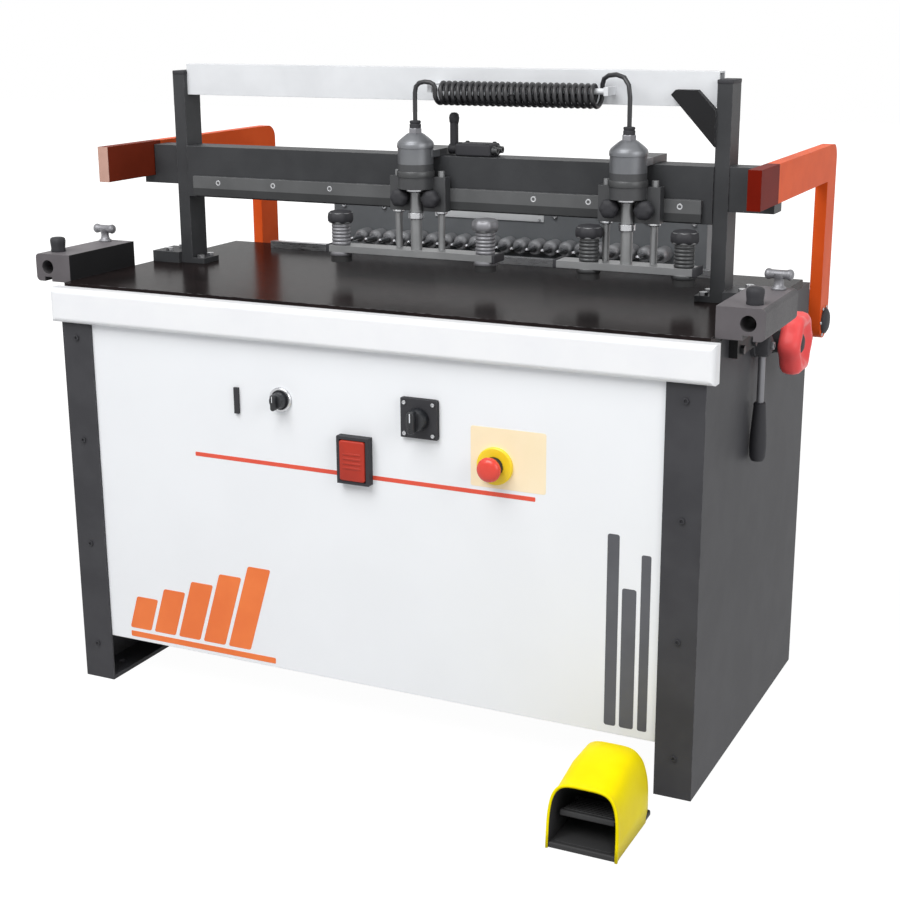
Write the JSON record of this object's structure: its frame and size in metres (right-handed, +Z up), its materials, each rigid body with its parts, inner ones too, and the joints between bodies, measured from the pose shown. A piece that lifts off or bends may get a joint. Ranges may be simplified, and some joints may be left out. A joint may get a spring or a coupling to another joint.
{
  "type": "multi-spindle boring machine",
  "caption": "Floor-standing multi-spindle boring machine with a sheet cabinet, table, pneumatic clamp bridge, tilting gear-driven drill head and foot pedal.",
  "frame": {"origin": "on the floor, at the centre of the four floor anchor holes of the cabinet", "axes": "+X to the operator's right along the table, +Y to the rear, +Z up"},
  "size_m": [1.352, 1.234, 1.129],
  "materials": {
    "dark_paint": "satin paint",
    "white_paint": "satin paint",
    "table_paint": "matt paint",
    "orange_paint": "gloss paint",
    "head_paint": "satin paint",
    "motor_paint": "satin paint",
    "black_iron": "black oxide",
    "bright_steel": "ground",
    "cylinder_alloy": "anodised",
    "black_plastic": "moulded",
    "red_plastic": "moulded",
    "yellow_plastic": "moulded",
    "hose_plastic": "extruded"
  },
  "bodies": {
    "frame": {"side_panels": "dark_paint", "front_panel": "white_paint", "rear_panel": "dark_paint", "table_top": "table_paint", "front_rail": "white_paint", "rear_fence": "bright_steel", "bridge_posts": "dark_paint", "presser_beam": "dark_paint", "hose_rail": "white_paint", "trunnion_brackets": "black_iron", "end_brackets": "black_iron", "frame_bolts": "bright_steel", "control_plates": "black_plastic", "hand_valve_body": "black_plastic", "pedal_housing": "yellow_plastic", "air_hose": "hose_plastic"},
    "tilting_yoke": {"tilt_arms": "orange_paint", "trunnion_tube": "bright_steel", "head_saddle": "head_paint", "guide_rods": "bright_steel", "feed_cylinders": "cylinder_alloy"},
    "boring_head": {"head_housing": "head_paint", "head_cover": "head_paint", "motor": "motor_paint", "feed_rods": "bright_steel"},
    "clamp_left": {"clamp_left_body": "cylinder_alloy"},
    "clamp_right": {"clamp_right_body": "cylinder_alloy"},
    "ram_left": {"clamp_left_ram": "bright_steel"},
    "ram_right": {"clamp_right_ram": "bright_steel"},
    "spindle_01": {"spindle_01": "bright_steel"},
    "spindle_02": {"spindle_02": "bright_steel"},
    "spindle_03": {"spindle_03": "bright_steel"},
    "spindle_04": {"spindle_04": "bright_steel"},
    "spindle_05": {"spindle_05": "bright_steel"},
    "spindle_06": {"spindle_06": "bright_steel"},
    "spindle_07": {"spindle_07": "bright_steel"},
    "spindle_08": {"spindle_08": "bright_steel"},
    "spindle_09": {"spindle_09": "bright_steel"},
    "spindle_10": {"spindle_10": "bright_steel"},
    "spindle_11": {"spindle_11": "bright_steel"},
    "spindle_12": {"spindle_12": "bright_steel"},
    "spindle_13": {"spindle_13": "bright_steel"},
    "spindle_14": {"spindle_14": "bright_steel"},
    "spindle_15": {"spindle_15": "bright_steel"},
    "spindle_16": {"spindle_16": "bright_steel"},
    "spindle_17": {"spindle_17": "bright_steel"},
    "spindle_18": {"spindle_18": "bright_steel"},
    "spindle_19": {"spindle_19": "bright_steel"},
    "spindle_20": {"spindle_20": "bright_steel"},
    "spindle_21": {"spindle_21": "bright_steel"},
    "hand_valve_lever": {"hand_valve_lever": "black_plastic"},
    "main_switch_knob": {"main_switch_knob": "black_plastic"},
    "selector_knob": {"selector_knob": "black_plastic"},
    "stop_button": {"stop_button": "red_plastic"},
    "emergency_button": {"emergency_button": "red_plastic"},
    "handwheel": {"handwheel": "red_plastic"},
    "lock_lever": {"lock_lever": "black_plastic"},
    "t_handle_left": {"t_handle_left": "bright_steel"},
    "t_handle_right": {"t_handle_right": "bright_steel"},
    "pedal_treadle": {"pedal_treadle": "black_plastic"}
  },
  "joints": [
    {"name": "head_tilt", "type": "hinge", "parent": "frame", "child": "tilting_yoke", "pos_m": [0, 0.385, 0.66], "axis": [-1, 0, 0], "range_deg": [0, 90]},
    {"name": "head_feed", "type": "slide", "parent": "tilting_yoke", "child": "boring_head", "axis": [0, -1, 0], "range_m": [0, 0.06]},
    {"name": "clamp_left_slide", "type": "slide", "parent": "frame", "child": "clamp_left", "axis": [1, 0, 0], "range_m": [-0.38, 0], "deforming": ["air_hose"]},
    {"name": "clamp_right_slide", "type": "slide", "parent": "frame", "child": "clamp_right", "axis": [1, 0, 0], "range_m": [-0.1, 0.06], "deforming": ["air_hose"]},
    {"name": "ram_left_press", "type": "slide", "parent": "clamp_left", "child": "ram_left", "axis": [0, 0, -1], "range_m": [0, 0.03], "stiffness_N_per_m": 1200, "springref_m": -0.03},
    {"name": "ram_right_press", "type": "slide", "parent": "clamp_right", "child": "ram_right", "axis": [0, 0, -1], "range_m": [0, 0.03], "stiffness_N_per_m": 1200, "springref_m": -0.03},
    {"name": "spindle_01_spin", "type": "hinge", "parent": "boring_head", "child": "spindle_01", "pos_m": [-0.32, 0.33, 0.776], "axis": [0, 1, 0], "continuous": true},
    {"name": "spindle_02_spin", "type": "hinge", "parent": "boring_head", "child": "spindle_02", "pos_m": [-0.288, 0.33, 0.776], "axis": [0, 1, 0], "continuous": true},
    {"name": "spindle_03_spin", "type": "hinge", "parent": "boring_head", "child": "spindle_03", "pos_m": [-0.256, 0.33, 0.776], "axis": [0, 1, 0], "continuous": true},
    {"name": "spindle_04_spin", "type": "hinge", "parent": "boring_head", "child": "spindle_04", "pos_m": [-0.224, 0.33, 0.776], "axis": [0, 1, 0], "continuous": true},
    {"name": "spindle_05_spin", "type": "hinge", "parent": "boring_head", "child": "spindle_05", "pos_m": [-0.192, 0.33, 0.776], "axis": [0, 1, 0], "continuous": true},
    {"name": "spindle_06_spin", "type": "hinge", "parent": "boring_head", "child": "spindle_06", "pos_m": [-0.16, 0.33, 0.776], "axis": [0, 1, 0], "continuous": true},
    {"name": "spindle_07_spin", "type": "hinge", "parent": "boring_head", "child": "spindle_07", "pos_m": [-0.128, 0.33, 0.776], "axis": [0, 1, 0], "continuous": true},
    {"name": "spindle_08_spin", "type": "hinge", "parent": "boring_head", "child": "spindle_08", "pos_m": [-0.096, 0.33, 0.776], "axis": [0, 1, 0], "continuous": true},
    {"name": "spindle_09_spin", "type": "hinge", "parent": "boring_head", "child": "spindle_09", "pos_m": [-0.064, 0.33, 0.776], "axis": [0, 1, 0], "continuous": true},
    {"name": "spindle_10_spin", "type": "hinge", "parent": "boring_head", "child": "spindle_10", "pos_m": [-0.032, 0.33, 0.776], "axis": [0, 1, 0], "continuous": true},
    {"name": "spindle_11_spin", "type": "hinge", "parent": "boring_head", "child": "spindle_11", "pos_m": [0, 0.33, 0.776], "axis": [0, 1, 0], "continuous": true},
    {"name": "spindle_12_spin", "type": "hinge", "parent": "boring_head", "child": "spindle_12", "pos_m": [0.032, 0.33, 0.776], "axis": [0, 1, 0], "continuous": true},
    {"name": "spindle_13_spin", "type": "hinge", "parent": "boring_head", "child": "spindle_13", "pos_m": [0.064, 0.33, 0.776], "axis": [0, 1, 0], "continuous": true},
    {"name": "spindle_14_spin", "type": "hinge", "parent": "boring_head", "child": "spindle_14", "pos_m": [0.096, 0.33, 0.776], "axis": [0, 1, 0], "continuous": true},
    {"name": "spindle_15_spin", "type": "hinge", "parent": "boring_head", "child": "spindle_15", "pos_m": [0.128, 0.33, 0.776], "axis": [0, 1, 0], "continuous": true},
    {"name": "spindle_16_spin", "type": "hinge", "parent": "boring_head", "child": "spindle_16", "pos_m": [0.16, 0.33, 0.776], "axis": [0, 1, 0], "continuous": true},
    {"name": "spindle_17_spin", "type": "hinge", "parent": "boring_head", "child": "spindle_17", "pos_m": [0.192, 0.33, 0.776], "axis": [0, 1, 0], "continuous": true},
    {"name": "spindle_18_spin", "type": "hinge", "parent": "boring_head", "child": "spindle_18", "pos_m": [0.224, 0.33, 0.776], "axis": [0, 1, 0], "continuous": true},
    {"name": "spindle_19_spin", "type": "hinge", "parent": "boring_head", "child": "spindle_19", "pos_m": [0.256, 0.33, 0.776], "axis": [0, 1, 0], "continuous": true},
    {"name": "spindle_20_spin", "type": "hinge", "parent": "boring_head", "child": "spindle_20", "pos_m": [0.288, 0.33, 0.776], "axis": [0, 1, 0], "continuous": true},
    {"name": "spindle_21_spin", "type": "hinge", "parent": "boring_head", "child": "spindle_21", "pos_m": [0.32, 0.33, 0.776], "axis": [0, 1, 0], "continuous": true},
    {"name": "hand_valve_turn", "type": "hinge", "parent": "frame", "child": "hand_valve_lever", "pos_m": [0.034, 0, 0.99], "axis": [1, 0, 0], "range_deg": [-30, 30]},
    {"name": "main_switch_turn", "type": "hinge", "parent": "frame", "child": "main_switch_knob", "pos_m": [0.12, -0.321, 0.584], "axis": [0, 1, 0], "range_deg": [0, 90]},
    {"name": "selector_turn", "type": "hinge", "parent": "frame", "child": "selector_knob", "pos_m": [-0.146, -0.317, 0.588], "axis": [0, 1, 0], "range_deg": [-45, 45]},
    {"name": "stop_press", "type": "slide", "parent": "frame", "child": "stop_button", "axis": [0, 1, 0], "range_m": [0, 0.004], "stiffness_N_per_m": 900, "springref_m": -0.002},
    {"name": "emergency_press", "type": "slide", "parent": "frame", "child": "emergency_button", "axis": [0, 1, 0], "range_m": [0, 0.006], "stiffness_N_per_m": 900, "springref_m": -0.003},
    {"name": "handwheel_turn", "type": "hinge", "parent": "frame", "child": "handwheel", "pos_m": [0.6, 0.038, 0.687], "axis": [1, 0, 0], "continuous": true},
    {"name": "lock_lever_swing", "type": "hinge", "parent": "frame", "child": "lock_lever", "pos_m": [0.6, -0.06, 0.7], "axis": [1, 0, 0], "range_deg": [-75, 0]},
    {"name": "t_handle_left_turn", "type": "hinge", "parent": "frame", "child": "t_handle_left", "pos_m": [-0.65, -0.113, 0.802], "axis": [0, 0, 1], "continuous": true},
    {"name": "t_handle_right_turn", "type": "hinge", "parent": "frame", "child": "t_handle_right", "pos_m": [0.65, -0.113, 0.802], "axis": [0, 0, 1], "continuous": true},
    {"name": "treadle_press", "type": "hinge", "parent": "frame", "child": "pedal_treadle", "pos_m": [0.501, -0.433, 0.03], "axis": [1, 0, 0], "range_deg": [0, 10], "stiffness_Nm_per_rad": 8, "springref_deg": -6.88}
  ],
  "couplings": [
    {"joint": "spindle_01_spin", "follows": "spindle_11_spin", "ratio": 1},
    {"joint": "spindle_02_spin", "follows": "spindle_11_spin", "ratio": -1},
    {"joint": "spindle_03_spin", "follows": "spindle_11_spin", "ratio": 1},
    {"joint": "spindle_04_spin", "follows": "spindle_11_spin", "ratio": -1},
    {"joint": "spindle_05_spin", "follows": "spindle_11_spin", "ratio": 1},
    {"joint": "spindle_06_spin", "follows": "spindle_11_spin", "ratio": -1},
    {"joint": "spindle_07_spin", "follows": "spindle_11_spin", "ratio": 1},
    {"joint": "spindle_08_spin", "follows": "spindle_11_spin", "ratio": -1},
    {"joint": "spindle_09_spin", "follows": "spindle_11_spin", "ratio": 1},
    {"joint": "spindle_10_spin", "follows": "spindle_11_spin", "ratio": -1},
    {"joint": "spindle_12_spin", "follows": "spindle_11_spin", "ratio": -1},
    {"joint": "spindle_13_spin", "follows": "spindle_11_spin", "ratio": 1},
    {"joint": "spindle_14_spin", "follows": "spindle_11_spin", "ratio": -1},
    {"joint": "spindle_15_spin", "follows": "spindle_11_spin", "ratio": 1},
    {"joint": "spindle_16_spin", "follows": "spindle_11_spin", "ratio": -1},
    {"joint": "spindle_17_spin", "follows": "spindle_11_spin", "ratio": 1},
    {"joint": "spindle_18_spin", "follows": "spindle_11_spin", "ratio": -1},
    {"joint": "spindle_19_spin", "follows": "spindle_11_spin", "ratio": 1},
    {"joint": "spindle_20_spin", "follows": "spindle_11_spin", "ratio": -1},
    {"joint": "spindle_21_spin", "follows": "spindle_11_spin", "ratio": 1}
  ]
}
